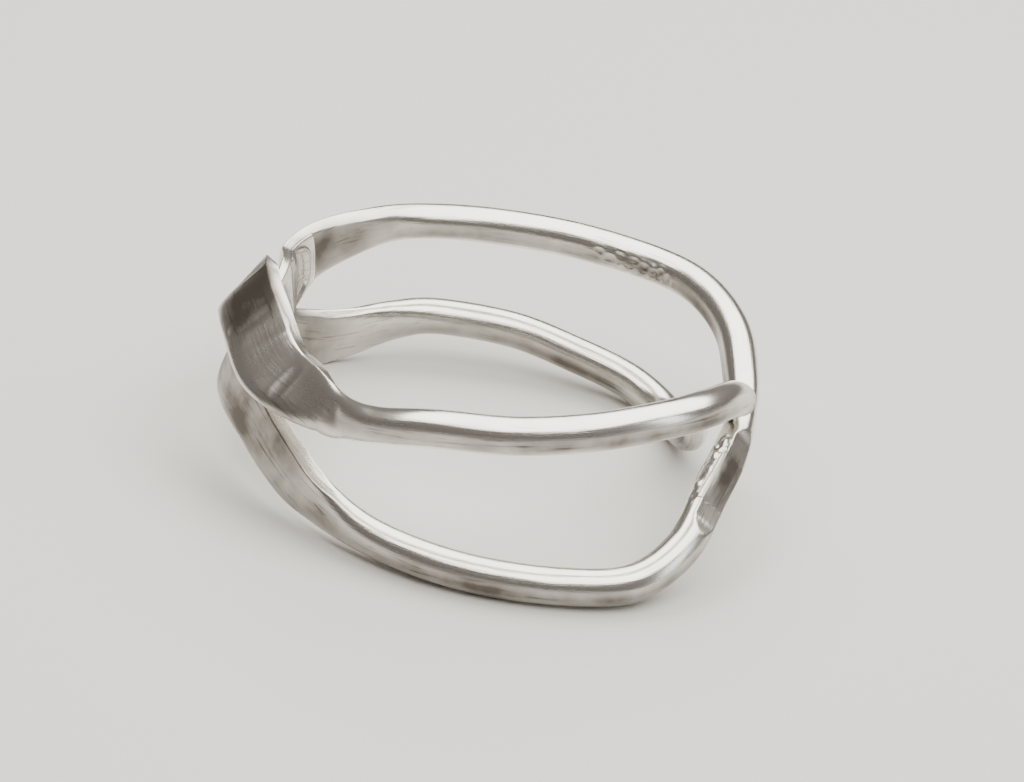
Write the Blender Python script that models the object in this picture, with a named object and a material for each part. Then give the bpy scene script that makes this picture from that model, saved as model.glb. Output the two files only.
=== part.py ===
"""A two-hoop linked silver ring puzzle: two forged wire hoops that pass through each other.

Units are metres, +Z up. The finger axis is Z and the ring rests on the plane z = 0. The two
hoops cross at either end of X: as broad forged flats at -X and as round wire at +X. The swing
hoop turns about the line through both crossings.
"""

from math import cos
from math import exp
from math import pi
from math import radians
from math import sin

import bmesh
import bpy
from mathutils import Vector

MM = 0.001

# Driving dimensions
CENTRE_X = 0.54 * MM            # moves the finger axis so that the whole ring is centred
CENTRE_Y = -0.08 * MM
PIVOT_Y = 1.6 * MM              # the line through both crossings, parallel to X
PIVOT_Z = 3.5 * MM
FIT_GAP = 0.06 * MM             # between a hoop and the piece soldered onto it
EDGE_THICKNESS = 0.05 * MM      # of a soldered piece at its rim
SQUARENESS = 0.40               # how far a forged flat's section is from an ellipse

SECTION_SIDES = 16
RINGS_PER_STATION = 4
PATCH_STEPS = 12

SILVER = (0.86, 0.84, 0.81, 1.0)
SOLDER = (0.72, 0.69, 0.63, 1.0)

# One station: azimuth in degrees, radius, height, breadth, thickness, lean in degrees, all
# lengths in millimetres. Breadth runs up the side of the ring, thickness runs along the
# radius, and a positive lean tips the upper edge towards the finger. Round wire is 1.45 mm,
# 15 gauge. A station under half a wire high leaves a small worn flat on the plane z = 0.
BASE_STATIONS = (
    (180, 10.20, 3.42, 2.60, 0.56, 12),
    (164, 8.99, 4.87, 2.85, 0.50, -6),
    (153, 9.66, 4.95, 2.76, 0.52, -8),
    (139, 10.12, 5.22, 2.35, 0.68, -2),
    (123, 9.95, 5.72, 1.60, 1.05, 0),
    (111, 9.60, 5.95, 1.40, 1.40, 0),
    (95, 9.20, 6.05, 1.45, 1.45, 0),
    (75, 9.10, 6.15, 1.45, 1.45, 0),
    (54, 9.60, 6.10, 1.45, 1.45, 0),
    (40, 9.75, 6.05, 1.45, 1.45, 0),
    (25, 9.60, 5.65, 1.45, 1.45, 0),
    (11, 9.35, 4.85, 1.45, 1.40, 0),
    (0, 9.30, 4.00, 1.40, 1.20, 0),
    (-12, 9.15, 3.35, 1.50, 1.40, 0),
    (-27, 9.25, 2.70, 1.45, 1.50, 0),
    (-40, 9.75, 1.60, 1.45, 1.45, 0),
    (-54, 9.85, 0.80, 1.45, 1.45, 0),
    (-70, 9.30, 0.67, 1.45, 1.45, 0),
    (-88, 8.80, 0.66, 1.45, 1.45, 0),
    (-104, 8.55, 0.72, 1.45, 1.45, 0),
    (-120, 8.50, 0.90, 1.45, 1.30, 0),
    (-133, 8.60, 1.20, 1.80, 0.90, 2),
    (-146, 8.85, 1.72, 2.40, 0.64, 6),
    (-162, 9.32, 2.55, 2.50, 0.58, 12),
)
SWING_STATIONS = (
    (178, 9.95, 6.25, 2.95, 0.52, 42),
    (169, 10.00, 5.75, 3.05, 0.50, 21),
    (160, 10.12, 3.82, 2.90, 0.52, 3),
    (150, 10.30, 2.05, 2.30, 0.64, 0),
    (138, 10.00, 1.20, 2.45, 0.64, 0),
    (128, 9.65, 1.25, 2.10, 0.72, 0),
    (117, 9.50, 1.60, 1.65, 1.10, 0),
    (106, 9.35, 1.80, 1.45, 1.45, 0),
    (87, 9.10, 1.65, 1.45, 1.45, 0),
    (71, 9.10, 1.25, 1.45, 1.45, 0),
    (55, 9.30, 0.90, 1.45, 1.45, 0),
    (40, 9.05, 0.69, 1.45, 1.40, 0),
    (26, 8.40, 1.15, 1.40, 1.25, 0),
    (12, 7.95, 2.35, 1.35, 1.00, 0),
    (1, 7.90, 4.10, 1.30, 0.80, 0),
    (-8, 9.20, 5.42, 1.05, 0.95, 0),
    (-20, 9.15, 6.50, 1.40, 1.25, 0),
    (-35, 9.20, 7.10, 1.45, 1.45, 0),
    (-49, 9.15, 7.25, 1.45, 1.45, 0),
    (-68, 9.05, 7.10, 1.45, 1.45, 0),
    (-86, 9.00, 6.80, 1.45, 1.45, 0),
    (-105, 9.10, 6.50, 1.45, 1.45, 0),
    (-120, 9.20, 5.85, 1.40, 1.30, 10),
    (-132, 9.05, 5.40, 1.70, 0.95, 30),
    (-145, 9.00, 5.30, 2.50, 0.66, 45),
    (-158, 9.25, 5.35, 2.90, 0.60, 50),
    (-171, 9.50, 5.85, 2.95, 0.56, 48),
)


def clear_scene():
    for old in list(bpy.data.objects):
        bpy.data.objects.remove(old, do_unlink=True)


def new_collection(name):
    collection = bpy.data.collections.new(name)
    bpy.context.scene.collection.children.link(collection)
    return collection


def new_material(name, colour, roughness):
    material = bpy.data.materials.new(name)
    material.use_nodes = True
    shader = material.node_tree.nodes["Principled BSDF"]
    shader.inputs["Base Color"].default_value = colour
    shader.inputs["Roughness"].default_value = roughness
    shader.inputs["Metallic"].default_value = 1.0
    return material


def catmull_rom(before, start, end, after, t):
    """The value a share t of the way from start to end, on a smooth curve through all four."""
    slope_in = (end - before) / 2
    slope_out = (after - start) / 2
    return (
        start * (2 * t**3 - 3 * t**2 + 1)
        + slope_in * (t**3 - 2 * t**2 + t)
        + end * (3 * t**2 - 2 * t**3)
        + slope_out * (t**3 - t**2)
    )


def station_values(station):
    """Centre, breadth, thickness and lean of one station, in metres and radians."""
    azimuth, radius, height, breadth, thickness, lean = station
    turn = radians(azimuth)
    centre = Vector((radius * cos(turn), radius * sin(turn), height)) * MM
    return centre, breadth * MM, thickness * MM, radians(lean)


def values_at(stations, place):
    """The values on the smooth closed curve at a place counted in stations from the first."""
    count = len(stations)
    index = int(place // 1)
    four = [station_values(stations[(index + step) % count]) for step in (-1, 0, 1, 2)]
    return [catmull_rom(*(value[kind] for value in four), place - index) for kind in range(4)]


def section_frame(stations, place):
    """Centre, outward and upward axes, thickness and breadth of the wire's section at a place."""
    centre, breadth, thickness, lean = values_at(stations, place)
    step = 0.5 / RINGS_PER_STATION
    tangent = values_at(stations, place + step)[0] - values_at(stations, place - step)[0]
    tangent.normalize()
    outward = Vector((centre.x, centre.y, 0)).normalized()
    across = (outward - tangent * outward.dot(tangent)).normalized()
    upward = across.cross(tangent).normalized()
    if upward.z < 0:
        upward.negate()
    out = across * cos(lean) + upward * sin(lean)
    up = upward * cos(lean) - across * sin(lean)
    return centre, out, up, thickness, breadth


def signed_power(value, power):
    return abs(value) ** power * (1 if value >= 0 else -1)


def section_point(frame, angle, extra=0.0):
    """A point on the section's rim, 0 at its outer side and a quarter turn at its upper edge.

    The section is an ellipse that squares off as the wire is flattened, and extra moves the
    point out from the metal."""
    centre, out, up, thickness, breadth = frame
    power = 1 - SQUARENESS * (1 - min(1, thickness / breadth))
    point = centre + out * (signed_power(cos(angle), power) * (thickness / 2 + extra))
    point += up * (signed_power(sin(angle), power) * (breadth / 2 + extra))
    point += Vector((CENTRE_X, CENTRE_Y, 0))
    point.z = max(point.z, 0)
    return point


def mesh_object(name, mesh_data, material, collection):
    bmesh.ops.recalc_face_normals(mesh_data, faces=mesh_data.faces)
    mesh = bpy.data.meshes.new(name)
    mesh_data.to_mesh(mesh)
    mesh_data.free()
    mesh.materials.append(material)
    mesh.shade_smooth()
    mesh.set_sharp_from_angle(angle=radians(40))
    made = bpy.data.objects.new(name, mesh)
    collection.objects.link(made)
    return made


def wire_hoop(name, stations, material, collection):
    """A closed wire hoop through the stations, one solid."""
    mesh_data = bmesh.new()
    rings = []
    for index in range(len(stations) * RINGS_PER_STATION):
        frame = section_frame(stations, index / RINGS_PER_STATION)
        angles = [2 * pi * side / SECTION_SIDES for side in range(SECTION_SIDES)]
        rings.append([mesh_data.verts.new(section_point(frame, angle)) for angle in angles])
    for ring, following in zip(rings, rings[1:] + rings[:1]):
        for side in range(SECTION_SIDES):
            beside = (side + 1) % SECTION_SIDES
            mesh_data.faces.new((ring[side], ring[beside], following[beside], following[side]))
    return mesh_object(name, mesh_data, material, collection)


def soldered_patch(name, stations, places, angles, thickness, peak, material, collection):
    """A thin piece that lies on a hoop between two places and two angles round its section.

    It is thickest at the middle, peak gives how sharply it thins towards its rim."""
    mesh_data = bmesh.new()
    under = []
    over = []
    for row in range(PATCH_STEPS + 1):
        along = row / PATCH_STEPS
        frame = section_frame(stations, places[0] + along * (places[1] - places[0]))
        under_row = []
        over_row = []
        for column in range(PATCH_STEPS + 1):
            round_it = column / PATCH_STEPS
            angle = radians(angles[0] + round_it * (angles[1] - angles[0]))
            rim = (2 * along - 1) ** 2 + (2 * round_it - 1) ** 2
            rise = EDGE_THICKNESS + (thickness - EDGE_THICKNESS) * exp(-peak * rim)
            under_row.append(mesh_data.verts.new(section_point(frame, angle, FIT_GAP)))
            over_row.append(mesh_data.verts.new(section_point(frame, angle, FIT_GAP + rise)))
        under.append(under_row)
        over.append(over_row)
    for grid in (under, over):
        for row in range(PATCH_STEPS):
            for column in range(PATCH_STEPS):
                mesh_data.faces.new((
                    grid[row][column],
                    grid[row][column + 1],
                    grid[row + 1][column + 1],
                    grid[row + 1][column],
                ))
    rims = (
        (under[0], over[0]),
        (under[-1], over[-1]),
        ([row[0] for row in under], [row[0] for row in over]),
        ([row[-1] for row in under], [row[-1] for row in over]),
    )
    for low, high in rims:
        for step in range(PATCH_STEPS):
            mesh_data.faces.new((low[step], low[step + 1], high[step + 1], high[step]))
    return mesh_object(name, mesh_data, material, collection)


def hang_on_pivot(pieces, collection):
    """Puts the pieces under an empty on the line that the swing hoop turns about."""
    pivot = bpy.data.objects.new("swing_pivot", None)
    pivot.location = (0, PIVOT_Y, PIVOT_Z)
    pivot.empty_display_size = 2 * MM
    collection.objects.link(pivot)
    for piece in pieces:
        piece.parent = pivot
        piece.location = -pivot.location


def build():
    clear_scene()
    parts = new_collection("linked_ring_puzzle")
    base_silver = new_material("base_silver", SILVER, 0.22)
    swing_silver = new_material("swing_silver", SILVER, 0.22)
    lap_silver = new_material("lap_silver", SILVER, 0.30)
    seam_solder = new_material("seam_solder", SOLDER, 0.38)
    bead_solder = new_material("bead_solder", SOLDER, 0.38)
    wire_hoop("base_hoop", BASE_STATIONS, base_silver, parts)
    swing = wire_hoop("swing_hoop", SWING_STATIONS, swing_silver, parts)
    soldered_patch(
        "base_hoop_lap_end", BASE_STATIONS, (1.3, 2.75), (125, 235), 0.16 * MM, 0.2, lap_silver, parts
    )
    soldered_patch(
        "base_hoop_solder_seam", BASE_STATIONS, (13.1, 14.3), (-60, 100), 0.18 * MM, 2.0,
        seam_solder, parts,
    )
    bead = soldered_patch(
        "swing_hoop_solder_bead", SWING_STATIONS, (12.2, 13.6), (60, 210), 0.40 * MM, 2.0,
        bead_solder, parts,
    )
    hang_on_pivot((swing, bead), parts)


build()
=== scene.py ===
"""The looks of the linked ring puzzle: polished silver wire hoops with forged flats.

The visible hoops follow the same stations as the solids, with finer sections, hammered flats,
dents, filed facets, soldered pieces, tarnishing, and painted shade and dark reflections
in the metal's colour. Lengths are in millimetres, unless they are written as metres.
"""

from collections import namedtuple
from math import cos
from math import exp
from math import radians
from math import sin

import bmesh
import bpy
from mathutils import Matrix
from mathutils import Vector
from mathutils import noise


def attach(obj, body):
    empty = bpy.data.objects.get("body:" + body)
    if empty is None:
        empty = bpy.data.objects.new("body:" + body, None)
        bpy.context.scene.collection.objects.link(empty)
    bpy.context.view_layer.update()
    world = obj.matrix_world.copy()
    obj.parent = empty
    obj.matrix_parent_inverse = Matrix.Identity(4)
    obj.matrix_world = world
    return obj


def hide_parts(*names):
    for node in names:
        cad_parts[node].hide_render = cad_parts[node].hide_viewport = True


MM = 0.001
CENTRE_X = 0.54                 # places the finger axis so that the ring's box is centred
CENTRE_Y = -0.08
FIT_GAP = 0.004                 # under a soldered piece
STATION_SPACING = 2.6           # the usual distance from one station to the next
TANGENT_STEP = 0.125            # stations either side, for the direction of the wire
SQUARENESS = 0.56               # how crisp the forged flats' edges are
SECTION_SIDES = 64
RINGS_PER_STATION = 26
PATCH_STEPS = 44

# Unevenness. A grain is how fast it changes, per mm along the wire, up its side and outward.
HAMMER_DEPTH = 0.018            # of the marks on the flats
HAMMER_GRAIN = (0.55, 0.9, 1.4)
FINER_MARKS = 2.3               # how much finer the second set of marks is
FLAT_SLOPE = 1.6                # how soon a flattened wire counts as a flat
WIRE_WAVE = 0.004               # of the drawn wire
WIRE_GRAIN = (0.35, 1.1, 0.7)
WIRE_SHIFT = (7, 3)             # keeps the wire's waves apart from the hammer marks

# Dents, in dent radii
DENT_REACH_SQUARED = 6
RIM_HEIGHT = 0.35               # of the pushed-up rim, as a share of the depth
RIM_PLACE = 1.5
RIM_CRISPNESS = 6

# The lap end. Centres and reaches are shares along the piece and round it.
LAP_RIM_THICKNESS = 0.01
LAP_RISE = 0.10                 # from its rim to its upper face
START_CRISPNESS = 8
END_CRISPNESS = 40
SIDE_CRISPNESS = 9
HOLLOW_CENTRE = (0.48, 0.52)
HOLLOW_REACH = (0.34, 0.30)
HOLLOW_CRISPNESS = 3
HOLLOW_DEPTH = 0.95             # as a share of the rise
LIP_PLACE = 1.15                # on the hollow's scale, 1 at its rim
LIP_WIDTH = 0.22
LIP_RISE = 0.07

# Solder
SOLDER_RIM_THICKNESS = 0.003
SWELL_FALL = 2.2                # how fast it thins from its middle
SWELL_CUT = 0.1                 # shares of the swell lower than this are bare
LUMPINESS = 0.7
FILED_SLOPE = 2.5
RAGGED_MEAN = 1.2               # keeps the ragged ends drawn in
RAGGED_GRAIN = 7

SILVER = (0.92, 0.89, 0.83, 1)
SOLDER = (0.88, 0.85, 0.79, 1)
# the dark colour of the tarnishing, and of the painted shade and dark reflections
TARNISH_AND_SHADE = (0.13, 0.115, 0.10, 1)
WORKTOP = (0.68, 0.67, 0.65, 1)
STUDIO = (0.38, 0.35, 0.325, 1)
WORKTOP_HALF = 0.5              # metres
WORKTOP_DROP = 0.02             # under the resting plane

CAMERA_HEADING = 2.161
CAMERA_ELEVATION = 28.274
CAMERA_ROLL = 9.455
CAMERA_AIM = (0.303, -0.080, 3.172)
CAMERA_SHIFT = (0.84, 0.42)     # to the right and up in the picture
CAMERA_DISTANCE = 0.2           # metres
CAMERA_LENS = 184.2
CAMERA_SENSOR = 36

Section = namedtuple("Section", "centre out up thickness breadth")
Metalwork = namedtuple("Metalwork", "stations dents facets stains")

# Azimuth, radius, height, breadth, thickness and lean of each station, as in the solids.
# Places further down are counted in stations from the first, and angles round the section
# in degrees, 0 at its outer side and 90 at its upper edge.
BASE_STATIONS = (
    (180, 10.20, 3.42, 2.60, 0.56, 12),
    (164, 8.99, 4.87, 2.85, 0.50, -6),
    (153, 9.66, 4.95, 2.76, 0.52, -8),
    (139, 10.12, 5.22, 2.35, 0.68, -2),
    (123, 9.95, 5.72, 1.60, 1.05, 0),
    (111, 9.60, 5.95, 1.40, 1.40, 0),
    (95, 9.20, 6.05, 1.45, 1.45, 0),
    (75, 9.10, 6.15, 1.45, 1.45, 0),
    (54, 9.60, 6.10, 1.45, 1.45, 0),
    (40, 9.75, 6.05, 1.45, 1.45, 0),
    (25, 9.60, 5.65, 1.45, 1.45, 0),
    (11, 9.35, 4.85, 1.45, 1.40, 0),
    (0, 9.30, 4.00, 1.40, 1.20, 0),
    (-12, 9.15, 3.35, 1.50, 1.40, 0),
    (-27, 9.25, 2.70, 1.45, 1.50, 0),
    (-40, 9.75, 1.60, 1.45, 1.45, 0),
    (-54, 9.85, 0.80, 1.45, 1.45, 0),
    (-70, 9.30, 0.67, 1.45, 1.45, 0),
    (-88, 8.80, 0.66, 1.45, 1.45, 0),
    (-104, 8.55, 0.72, 1.45, 1.45, 0),
    (-120, 8.50, 0.90, 1.45, 1.30, 0),
    (-133, 8.60, 1.20, 1.80, 0.90, 2),
    (-146, 8.85, 1.72, 2.40, 0.64, 6),
    (-162, 9.32, 2.55, 2.50, 0.58, 12),
)
SWING_STATIONS = (
    (178, 9.95, 6.25, 2.95, 0.52, 42),
    (169, 10.00, 5.75, 3.05, 0.50, 21),
    (160, 10.12, 3.82, 2.90, 0.52, 3),
    (150, 10.30, 2.05, 2.30, 0.64, 0),
    (138, 10.00, 1.20, 2.45, 0.64, 0),
    (128, 9.65, 1.25, 2.10, 0.72, 0),
    (117, 9.50, 1.60, 1.65, 1.10, 0),
    (106, 9.35, 1.80, 1.45, 1.45, 0),
    (87, 9.10, 1.65, 1.45, 1.45, 0),
    (71, 9.10, 1.25, 1.45, 1.45, 0),
    (55, 9.30, 0.90, 1.45, 1.45, 0),
    (40, 9.05, 0.69, 1.45, 1.40, 0),
    (26, 8.40, 1.15, 1.40, 1.25, 0),
    (12, 7.95, 2.35, 1.35, 1.00, 0),
    (1, 7.90, 4.10, 1.30, 0.80, 0),
    (-8, 9.20, 5.42, 1.05, 0.95, 0),
    (-20, 9.15, 6.50, 1.40, 1.25, 0),
    (-35, 9.20, 7.10, 1.45, 1.45, 0),
    (-49, 9.15, 7.25, 1.45, 1.45, 0),
    (-68, 9.05, 7.10, 1.45, 1.45, 0),
    (-86, 9.00, 6.80, 1.45, 1.45, 0),
    (-105, 9.10, 6.50, 1.45, 1.45, 0),
    (-120, 9.20, 5.85, 1.40, 1.30, 10),
    (-132, 9.05, 5.40, 1.70, 0.95, 30),
    (-145, 9.00, 5.30, 2.50, 0.66, 45),
    (-158, 9.25, 5.35, 2.90, 0.60, 50),
    (-171, 9.50, 5.85, 2.95, 0.56, 48),
)

# Place, angle, radius and depth of small dents. A negative depth is a raised blob.
BASE_DENTS = (
    (7.26, 190, 0.15, 0.075),
    (7.33, 168, 0.13, 0.060),
    (7.42, 200, 0.14, -0.040),
    (7.47, 183, 0.16, 0.090),
    (7.56, 162, 0.13, 0.070),
    (7.61, 197, 0.14, 0.085),
    (7.69, 179, 0.15, -0.045),
    (7.76, 164, 0.13, 0.060),
    (7.80, 194, 0.16, 0.090),
    (7.90, 176, 0.16, 0.085),
    (7.98, 198, 0.13, 0.070),
    (8.03, 163, 0.13, -0.040),
    (8.10, 184, 0.17, 0.095),
    (8.20, 169, 0.14, 0.070),
    (8.26, 193, 0.14, 0.070),
    (8.38, 181, 0.15, 0.060),
    (8.50, 188, 0.12, 0.040),
    (12.95, 105, 0.16, -0.060),
    (13.10, 135, 0.14, -0.070),
    (13.22, 98, 0.12, 0.060),
    (13.32, 120, 0.15, -0.080),
    (13.50, 140, 0.13, 0.050),
    (13.62, 108, 0.14, -0.050),
    (13.95, 125, 0.16, -0.045),
    (14.20, 112, 0.12, 0.040),
)
SWING_DENTS = (
    (22.85, 292, 0.60, -0.080),
    (24.30, 350, 0.30, 0.030),
    (25.60, 20, 0.40, 0.025),
    (26.10, 345, 0.30, -0.040),
    (0.30, 10, 0.30, 0.050),
    (12.60, 100, 0.18, -0.050),
    (13.40, 170, 0.20, 0.060),
)
# First and last place, run-in in stations, angle and depth of each filed or hammered facet.
BASE_FACETS = (
    (12.40, 14.80, 0.35, 40, 0.22),
    (13.70, 14.90, 0.40, 150, 0.06),
    (0.40, 4.60, 1.20, 118, 0.10),
    (20.60, 23.80, 1.20, 66, 0.20),
)
SWING_FACETS = (
    (23.2, 29.0, 1.40, 62, 0.22),
    (26.9, 29.0, 1.00, 90, 0.38),
    (2.20, 5.80, 1.20, 118, 0.08),
)
# Place, angle, reach along in stations, reach round in degrees, and strength of each darkening of
# the colour, mostly painted shade and dark reflections.
BASE_STAINS_AND_SHADE = (
    # darker over the stamped dents
    (7.85, 184, 0.75, 34, 1.30),
    # painted shade on the filed facet by the solder seam
    (13.5, 40, 0.9, 50, 1.15),
    # painted dark reflection on the outer face of the forged flat
    (23.2, 0, 2.2, 75, 1.25),
    # painted dark reflection on the inner face of the forged flat, by the lap end
    (2.9, 180, 1.7, 75, 1.00),
    # painted dark reflection, a band along the outer side, just below the middle
    (18.0, 350, 5.0, 34, 1.00),
    # painted dark reflection, a band along the inner side, just below the middle
    (8.0, 192, 6.0, 34, 0.95),
)
# painted shade in the lap end's hollow, and a painted dark reflection over its whole face
LAP_PAINTED_SHADE = (
    (2.00, 180, 0.26, 30, 1.30),
    (1.60, 190, 0.90, 80, 0.80),
)
SWING_STAINS_AND_SHADE = (
    # painted dark reflection on the outer face of the forged flat
    (26.5, 10, 1.1, 60, 1.30),
    # painted dark reflection on the outer, lower part of the forged flat
    (24.0, 315, 1.0, 60, 0.90),
    # painted dark reflection, a band along the outer side, just below the middle
    (19.0, 350, 5.0, 34, 1.00),
    # painted shade on the underside where the wire crosses over the other hoop
    (15.2, 330, 0.8, 120, 1.00),
    # darker round the solder bead
    (12.8, 180, 0.8, 120, 0.90),
    # painted dark reflection on the inner face of the forged flat
    (3.0, 180, 2.0, 80, 1.20),
    # painted dark reflection, a band along the inner side, just below the middle
    (9.0, 192, 5.0, 34, 0.95),
)


def catmull_rom(before, start, end, after, t):
    """The value a share t of the way from start to end, on a smooth curve through all four."""
    slope_in = (end - before) / 2
    slope_out = (after - start) / 2
    return (
        start * (2 * t**3 - 3 * t**2 + 1)
        + slope_in * (t**3 - 2 * t**2 + t)
        + end * (3 * t**2 - 2 * t**3)
        + slope_out * (t**3 - t**2)
    )


def station_values(station):
    """Centre, breadth, thickness and lean of one station, the lean in radians."""
    azimuth, radius, height, breadth, thickness, lean = station
    turn = radians(azimuth)
    centre = Vector((radius * cos(turn), radius * sin(turn), height))
    return centre, breadth, thickness, radians(lean)


def values_at(stations, place):
    """The values on the smooth closed curve at a place."""
    count = len(stations)
    index = int(place // 1)
    four = [station_values(stations[(index + step) % count]) for step in (-1, 0, 1, 2)]
    return [catmull_rom(*(value[kind] for value in four), place - index) for kind in range(4)]


def section_at(stations, place):
    """The wire's section at a place: its centre, its outward and upward axes and its size."""
    centre, breadth, thickness, lean = values_at(stations, place)
    ahead = values_at(stations, place + TANGENT_STEP)[0]
    tangent = ahead - values_at(stations, place - TANGENT_STEP)[0]
    tangent.normalize()
    outward = Vector((centre.x, centre.y, 0)).normalized()
    across = (outward - tangent * outward.dot(tangent)).normalized()
    upward = across.cross(tangent).normalized()
    if upward.z < 0:
        upward.negate()
    out = across * cos(lean) + upward * sin(lean)
    up = upward * cos(lean) - across * sin(lean)
    return Section(centre, out, up, thickness, breadth)


def signed_power(value, power):
    return abs(value) ** power * (1 if value >= 0 else -1)


def smooth_step(value):
    held = min(1, max(0, value))
    return held * held * (3 - 2 * held)


def angle_between(first, second):
    """The smaller angle between two directions, in degrees."""
    return abs((first - second + 180) % 360 - 180)


def section_place(section, degrees):
    """Outward and upward distances of the section's rim, squared off where it is flattened."""
    power = 1 - SQUARENESS * (1 - min(1, section.thickness / section.breadth))
    angle = radians(degrees)
    outward = signed_power(cos(angle), power) * section.thickness / 2
    upward = signed_power(sin(angle), power) * section.breadth / 2
    return outward, upward


def rim_normal(degrees):
    return cos(radians(degrees)), sin(radians(degrees))


def space_point(section, outward, upward):
    """A point of the section in the shared frame, in metres, never under the resting plane."""
    point = section.centre + section.out * outward + section.up * upward
    point += Vector((CENTRE_X, CENTRE_Y, 0))
    point.z = max(point.z, 0)
    return point * MM


def noise_at(section, outward, upward, grain, shift=(0, 0), finer=1):
    """Noise that has the same value wherever the wire comes round to the same point."""
    along, up, out = grain
    spot = Vector((
        section.centre.x * along + shift[0],
        section.centre.y * along + shift[1],
        upward * up + outward * out,
    ))
    return noise.noise(spot * finer)


def hammering(section, degrees):
    """How far the metal stands in from the plain section: hammer marks and drawn unevenness."""
    flatness = smooth_step((1 - section.thickness / section.breadth) * FLAT_SLOPE)
    spot = (section, *section_place(section, degrees))
    hammered = noise_at(*spot, HAMMER_GRAIN) + noise_at(*spot, HAMMER_GRAIN, finer=FINER_MARKS) / 2
    drawn = noise_at(*spot, WIRE_GRAIN, shift=WIRE_SHIFT)
    return HAMMER_DEPTH * flatness * hammered + WIRE_WAVE * drawn


def dents_at(dents, section, place, degrees):
    """Depth of the dents at a point, each with a rim of pushed-up metal."""
    half_width = (section.thickness + section.breadth) / 4
    depth = 0
    for dent_place, angle, radius, deep in dents:
        gap_along = (place - dent_place) * STATION_SPACING
        gap_round = radians(angle_between(degrees, angle)) * half_width
        squared = (gap_along**2 + gap_round**2) / radius**2
        if squared < DENT_REACH_SQUARED:
            rim = exp(-((squared**0.5 - RIM_PLACE) ** 2) * RIM_CRISPNESS)
            depth += deep * exp(-squared) - RIM_HEIGHT * deep * rim
    return depth


def section_reach(section, across, rise):
    """How far the section reaches in a direction."""
    edges = (section_place(section, degrees) for degrees in range(0, 360, 6))
    return max(outward * across + upward * rise for outward, upward in edges)


def cut_facets(metalwork, section, place, outward, upward):
    """Cuts the section back to each facet."""
    count = len(metalwork.stations)
    for first, last, run_in, angle, depth in metalwork.facets:
        turned = place + count if place + count < last else place
        share = smooth_step((turned - first) / run_in) * smooth_step((last - turned) / run_in)
        if share <= 0:
            continue
        across, rise = rim_normal(angle)
        reach = section_reach(section, across, rise)
        over = outward * across + upward * rise - reach + depth * share
        if over > 0:
            outward -= over * across
            upward -= over * rise
    return outward, upward


def worked_metal(metalwork, section, place, degrees):
    """Outward and upward distances of the worked surface from the wire's centre."""
    outward, upward = section_place(section, degrees)
    outward, upward = cut_facets(metalwork, section, place, outward, upward)
    sunk = hammering(section, degrees) + dents_at(metalwork.dents, section, place, degrees)
    across, rise = rim_normal(degrees)
    return outward - across * sunk, upward - rise * sunk


def stain_and_shade_at(metalwork, place, degrees):
    """How much the metal is darkened at a point, mostly by painted shade and dark reflections, 0
    where it is left bright.
    """
    count = len(metalwork.stations)
    amount = 0
    for mark_place, angle, reach, spread, strength in metalwork.stains:
        gap = abs((place - mark_place + count / 2) % count - count / 2) / reach
        turn = angle_between(degrees, angle) / spread
        amount = max(amount, strength * exp(-(gap**2) - turn**2))
    return amount


def add_grid_faces(mesh_data, grid):
    for row, following in zip(grid, grid[1:]):
        for step in range(len(row) - 1):
            mesh_data.faces.new((
                row[step], row[step + 1], following[step + 1], following[step]
            ))


def mesh_piece(name, mesh_data, wire_places, stains, material):
    """Makes the object and puts on it the wire coordinates and the darkening, which is mostly
    painted shade and dark reflections.

    The wire coordinates are the plan position of the wire's centre and the point's distances
    up and out from it, in millimetres, so that marks run along the wire and meet round it."""
    bmesh.ops.recalc_face_normals(mesh_data, faces=mesh_data.faces)
    mesh = bpy.data.meshes.new(name)
    mesh_data.to_mesh(mesh)
    mesh_data.free()
    mesh.materials.append(material)
    coordinates = mesh.attributes.new("wire_place", "FLOAT_VECTOR", "POINT")
    coordinates.data.foreach_set("vector", [number for spot in wire_places for number in spot[:3]])
    depths = mesh.attributes.new("wire_depth", "FLOAT", "POINT")
    depths.data.foreach_set("value", [spot[3] for spot in wire_places])
    # the darkening at each point: mostly painted shade and dark reflections
    tarnish_and_shade = mesh.attributes.new("tarnish_and_shade", "FLOAT", "POINT")
    tarnish_and_shade.data.foreach_set("value", stains)
    mesh.shade_smooth()
    made = bpy.data.objects.new(name, mesh)
    bpy.context.scene.collection.objects.link(made)
    return made


def hoop_piece(name, metalwork, material):
    """A closed wire hoop, one closed surface."""
    mesh_data = bmesh.new()
    rings = []
    wire_places = []
    stains = []
    for index in range(len(metalwork.stations) * RINGS_PER_STATION):
        place = index / RINGS_PER_STATION
        section = section_at(metalwork.stations, place)
        ring = []
        for side in range(SECTION_SIDES):
            degrees = 360 * side / SECTION_SIDES
            outward, upward = worked_metal(metalwork, section, place, degrees)
            ring.append(mesh_data.verts.new(space_point(section, outward, upward)))
            wire_places.append((section.centre.x, section.centre.y, upward, outward))
            stains.append(stain_and_shade_at(metalwork, place, degrees))
        rings.append(ring + ring[:1])
    add_grid_faces(mesh_data, rings + rings[:1])
    return mesh_piece(name, mesh_data, wire_places, stains, material)


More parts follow.
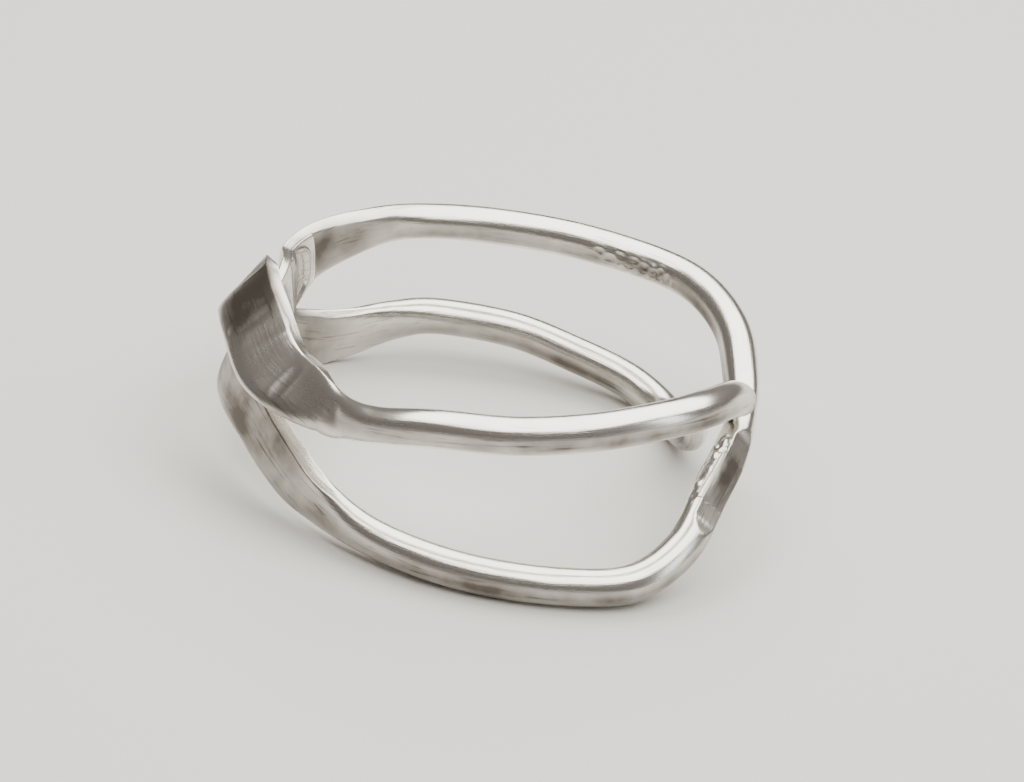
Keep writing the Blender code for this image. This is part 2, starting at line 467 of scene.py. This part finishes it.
def soldered_piece(name, metalwork, places, angles, ragged, rise_at, material):
    """A thin closed piece lying on a hoop between two places and two angles round its section.

    ragged is how far its ends wander, in stations, and rise_at gives its height from shares
    along and round."""
    mesh_data = bmesh.new()
    under = []
    over = []
    wire_places = []
    stains = []
    for row in range(PATCH_STEPS + 1):
        along = row / PATCH_STEPS
        under.append([])
        over.append([])
        for column in range(PATCH_STEPS + 1):
            round_it = column / PATCH_STEPS
            degrees = angles[0] + round_it * (angles[1] - angles[0])
            wander = noise.noise(Vector((round_it * RAGGED_GRAIN, 2, along)))
            drawn_in = ragged * (RAGGED_MEAN + wander)
            place = places[0] + drawn_in + along * (places[1] - places[0] - 2 * drawn_in)
            section = section_at(metalwork.stations, place)
            outward, upward = worked_metal(metalwork, section, place, degrees)
            across, rise = rim_normal(degrees)
            height = rise_at(along, round_it)
            for made, extra in ((under[-1], FIT_GAP), (over[-1], FIT_GAP + height)):
                point = space_point(section, outward + across * extra, upward + rise * extra)
                made.append(mesh_data.verts.new(point))
                wire_places.append((section.centre.x, section.centre.y, upward, outward))
                stains.append(stain_and_shade_at(metalwork, place, degrees))
    rims = (
        (under[0], over[0]),
        (under[-1], over[-1]),
        ([row[0] for row in under], [row[0] for row in over]),
        ([row[-1] for row in under], [row[-1] for row in over]),
    )
    for grid in (under, over, *rims):
        add_grid_faces(mesh_data, grid)
    return mesh_piece(name, mesh_data, wire_places, stains, material)


def lap_rise(along, round_it):
    """The lapped wire end: crisp edges, and a rounded hollow with a lip pressed into it."""
    start = smooth_step(along * START_CRISPNESS)
    end = smooth_step((1 - along) * END_CRISPNESS)
    sides = smooth_step(round_it * SIDE_CRISPNESS) * smooth_step((1 - round_it) * SIDE_CRISPNESS)
    face = min(start, end) * sides
    ring = ((along - HOLLOW_CENTRE[0]) / HOLLOW_REACH[0]) ** 2
    ring += ((round_it - HOLLOW_CENTRE[1]) / HOLLOW_REACH[1]) ** 2
    hollow = smooth_step((1 - ring) * HOLLOW_CRISPNESS)
    lip = exp(-(((ring - LIP_PLACE) / LIP_WIDTH) ** 2))
    return LAP_RIM_THICKNESS + face * (LAP_RISE * (1 - HOLLOW_DEPTH * hollow) + LIP_RISE * lip)


def lumpy_rise(height, grain, seed, share_bare):
    """A run of solder that swells at the middle and feathers out unevenly.

    share_bare is how far it is filed away on the side that it starts from."""
    def rise_at(along, round_it):
        rim = (2 * along - 1) ** 2 + (2 * round_it - 1) ** 2
        lumps = noise.noise(Vector((along * grain, round_it * grain, seed)))
        swell = max(0, exp(-SWELL_FALL * rim) - SWELL_CUT) * (1 + LUMPINESS * lumps)
        left = smooth_step(round_it * FILED_SLOPE - share_bare)
        return SOLDER_RIM_THICKNESS + height * swell * left
    return rise_at


def add_node(tree, kind, values=None, **settings):
    """A shader node with its settings, and the values of its inputs by name or number."""
    node = tree.nodes.new(kind)
    for key, setting in settings.items():
        setattr(node, key, setting)
    for key, value in (values or {}).items():
        node.inputs[key].default_value = value
    return node


def add_links(tree, *pairs):
    for start, end in pairs:
        tree.links.new(start, end)


def silver_material(name, colour, roughness, scratch_depth, tarnish_share):
    """Polished silver with lengthwise drawing marks, fine unevenness and cloudy tarnishing,
    darkened further by the painted shade and dark reflections that the mesh carries.
    """
    material = bpy.data.materials.new(name)
    material.use_nodes = True
    tree = material.node_tree
    shader = tree.nodes["Principled BSDF"]
    shader.inputs["Metallic"].default_value = 1.0

    wire = add_node(tree, "ShaderNodeAttribute", attribute_name="wire_place")
    depth = add_node(tree, "ShaderNodeAttribute", attribute_name="wire_depth")
    depth_scale = add_node(tree, "ShaderNodeMath", {1: 5}, operation="MULTIPLY")
    stretched = add_node(tree, "ShaderNodeMapping", {"Scale": (0.22, 0.22, 5)})
    drawn = add_node(
        tree, "ShaderNodeTexNoise", {"Scale": 1.6, "Detail": 4.0, "Roughness": 0.65},
        noise_dimensions="4D",
    )
    streaks = add_node(
        tree, "ShaderNodeMapRange", {"From Min": 0.56, "From Max": 0.74, "To Max": 0.45}
    )
    add_links(
        tree,
        (wire.outputs["Vector"], stretched.inputs["Vector"]),
        (stretched.outputs["Vector"], drawn.inputs["Vector"]),
        (depth.outputs["Fac"], depth_scale.inputs[0]),
        (depth_scale.outputs["Value"], drawn.inputs["W"]),
        (drawn.outputs["Fac"], streaks.inputs["Value"]),
    )

    # Cloudy tarnishing all over, the drawn streaks, and the mesh's darkening, which is mostly
    # painted shade and dark reflections made patchy by the same clouds, tint the silver towards
    # the dark colour and roughen it.
    object_place = add_node(tree, "ShaderNodeTexCoord")
    clouds = add_node(tree, "ShaderNodeTexNoise", {"Scale": 420, "Detail": 4.0})
    cloud_ramp = add_node(tree, "ShaderNodeMapRange", {"From Min": 0.30, "From Max": 0.75})
    patchiness = add_node(tree, "ShaderNodeMath", {1: 0.55, 2: 0.55}, operation="MULTIPLY_ADD")
    stain_and_shade = add_node(tree, "ShaderNodeAttribute", attribute_name="tarnish_and_shade")
    stain_and_shade_share = add_node(tree, "ShaderNodeMath", operation="MULTIPLY")
    stained_and_shaded = add_node(tree, "ShaderNodeMath", operation="ADD")
    tarnished_and_shaded = add_node(
        tree, "ShaderNodeMath", {1: tarnish_share}, operation="MULTIPLY_ADD", use_clamp=True
    )
    colours = add_node(tree, "ShaderNodeMix", {"A": colour, "B": TARNISH_AND_SHADE}, data_type="RGBA")
    dulled = add_node(
        tree, "ShaderNodeMapRange", {"To Min": roughness * 0.8, "To Max": roughness * 2.2}
    )
    add_links(
        tree,
        (object_place.outputs["Object"], clouds.inputs["Vector"]),
        (clouds.outputs["Fac"], cloud_ramp.inputs["Value"]),
        (cloud_ramp.outputs["Result"], patchiness.inputs[0]),
        (patchiness.outputs["Value"], stain_and_shade_share.inputs[0]),
        (stain_and_shade.outputs["Fac"], stain_and_shade_share.inputs[1]),
        (stain_and_shade_share.outputs["Value"], stained_and_shaded.inputs[0]),
        (streaks.outputs["Result"], stained_and_shaded.inputs[1]),
        (cloud_ramp.outputs["Result"], tarnished_and_shaded.inputs[0]),
        (stained_and_shaded.outputs["Value"], tarnished_and_shaded.inputs[2]),
        (tarnished_and_shaded.outputs["Value"], colours.inputs["Factor"]),
        (colours.outputs["Result"], shader.inputs["Base Color"]),
        (tarnished_and_shaded.outputs["Value"], dulled.inputs["Value"]),
        (dulled.outputs["Result"], shader.inputs["Roughness"]),
    )

    fine = add_node(tree, "ShaderNodeTexNoise", {"Scale": 5200, "Detail": 2.0})
    drawn_bump = add_node(
        tree, "ShaderNodeBump", {"Strength": 1.0, "Distance": scratch_depth * MM}
    )
    fine_bump = add_node(tree, "ShaderNodeBump", {"Strength": 1.0, "Distance": 0.0006 * MM})
    add_links(
        tree,
        (object_place.outputs["Object"], fine.inputs["Vector"]),
        (drawn.outputs["Fac"], drawn_bump.inputs["Height"]),
        (fine.outputs["Fac"], fine_bump.inputs["Height"]),
        (drawn_bump.outputs["Normal"], fine_bump.inputs["Normal"]),
        (fine_bump.outputs["Normal"], shader.inputs["Normal"]),
    )
    return material


def worktop_material():
    material = bpy.data.materials.new("pale_worktop")
    material.use_nodes = True
    shader = material.node_tree.nodes["Principled BSDF"]
    shader.inputs["Base Color"].default_value = WORKTOP
    shader.inputs["Roughness"].default_value = 0.55
    return material


def make_worktop():
    mesh = bpy.data.meshes.new("worktop")
    half = WORKTOP_HALF
    low = -WORKTOP_DROP * MM
    corners = [(-half, -half, low), (half, -half, low), (half, half, low), (-half, half, low)]
    mesh.from_pydata(corners, [], [(0, 1, 2, 3)])
    mesh.materials.append(worktop_material())
    floor = bpy.data.objects.new("worktop", mesh)
    bpy.context.scene.collection.objects.link(floor)


def add_area_light(name, place, size, power, colour):
    """A softbox aimed at the ring. Place and size are in metres, and power in watts."""
    light = bpy.data.lights.new(name, "AREA")
    light.shape = "RECTANGLE"
    light.size = size[0]
    light.size_y = size[1]
    light.energy = power
    light.color = colour
    lamp = bpy.data.objects.new(name, light)
    lamp.location = place
    aim = Vector((0, 0, 0.003))
    lamp.rotation_euler = (aim - Vector(place)).to_track_quat("-Z", "Y").to_euler()
    bpy.context.scene.collection.objects.link(lamp)


def light_scene():
    world = bpy.data.worlds.new("studio")
    world.use_nodes = True
    background = world.node_tree.nodes["Background"]
    background.inputs["Color"].default_value = STUDIO
    background.inputs["Strength"].default_value = 0.5
    bpy.context.scene.world = world
    add_area_light("top_softbox", (0.02, 0.03, 0.17), (0.30, 0.34), 1.5, (1.0, 0.97, 0.91))
    add_area_light("right_strip", (0.18, -0.06, 0.07), (0.04, 0.12), 0.05, (0.96, 0.98, 1.0))


def place_camera():
    """A long lens, a little left of the front, looking down at the ring and rolled."""
    heading = radians(CAMERA_HEADING)
    elevation = radians(CAMERA_ELEVATION)
    roll = radians(CAMERA_ROLL)
    forward = Vector((
        sin(heading) * cos(elevation), cos(heading) * cos(elevation), -sin(elevation)
    ))
    level = Vector((cos(heading), -sin(heading), 0))
    raised = level.cross(forward)
    right = level * cos(roll) + raised * sin(roll)
    up = raised * cos(roll) - level * sin(roll)
    target = (Vector(CAMERA_AIM) + right * CAMERA_SHIFT[0] + up * CAMERA_SHIFT[1]) * MM
    camera = bpy.data.cameras.new("camera")
    camera.sensor_width = CAMERA_SENSOR
    camera.lens = CAMERA_LENS
    camera.clip_start = 0.01
    holder = bpy.data.objects.new("camera", camera)
    axes = Matrix((right, up, -forward)).transposed().to_4x4()
    holder.matrix_world = Matrix.Translation(target - forward * CAMERA_DISTANCE) @ axes
    bpy.context.scene.collection.objects.link(holder)
    bpy.context.scene.camera = holder


def stand_in(piece, node, body):
    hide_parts(node)
    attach(piece, body)


def build():
    polished = {"roughness": 0.21, "scratch_depth": 0.010, "tarnish_share": 0.12}
    base_silver = silver_material("base_silver", SILVER, **polished)
    swing_silver = silver_material("swing_silver", SILVER, **polished)
    lap_silver = silver_material(
        "lap_silver", SILVER, roughness=0.18, scratch_depth=0.006, tarnish_share=0.15
    )
    solder = silver_material(
        "solder", SOLDER, roughness=0.20, scratch_depth=0.006, tarnish_share=0.20
    )
    base_metal = Metalwork(BASE_STATIONS, BASE_DENTS, BASE_FACETS, BASE_STAINS_AND_SHADE)
    swing_metal = Metalwork(SWING_STATIONS, SWING_DENTS, SWING_FACETS, SWING_STAINS_AND_SHADE)
    lap_metal = base_metal._replace(stains=LAP_PAINTED_SHADE)
    base = hoop_piece("base_hoop_metal", base_metal, base_silver)
    swing = hoop_piece("swing_hoop_metal", swing_metal, swing_silver)
    lap = soldered_piece(
        "lap_end_metal", lap_metal, (1.3, 2.75), (125, 235), 0.0, lap_rise, lap_silver
    )
    seam = soldered_piece(
        "solder_seam_metal", base_metal, (13.1, 14.3), (-60, 100), 0.07,
        lumpy_rise(height=0.17, grain=4, seed=1.5, share_bare=1.0), solder,
    )
    bead = soldered_piece(
        "solder_bead_metal", swing_metal, (12.2, 13.6), (60, 210), 0.07,
        lumpy_rise(height=0.38, grain=4, seed=4.5, share_bare=0.0), solder,
    )
    stand_in(base, "base_hoop", "base")
    stand_in(swing, "swing_hoop", "swing")
    stand_in(lap, "base_hoop_lap_end", "base")
    stand_in(seam, "base_hoop_solder_seam", "base")
    stand_in(bead, "swing_hoop_solder_bead", "swing")
    make_worktop()
    light_scene()
    place_camera()


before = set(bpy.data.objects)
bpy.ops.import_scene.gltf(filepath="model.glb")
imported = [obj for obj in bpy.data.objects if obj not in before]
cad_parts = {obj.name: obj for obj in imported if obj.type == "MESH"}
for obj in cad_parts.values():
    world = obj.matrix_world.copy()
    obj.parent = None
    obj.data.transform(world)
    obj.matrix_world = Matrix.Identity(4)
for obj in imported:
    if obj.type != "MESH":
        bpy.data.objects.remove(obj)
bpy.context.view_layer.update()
build()
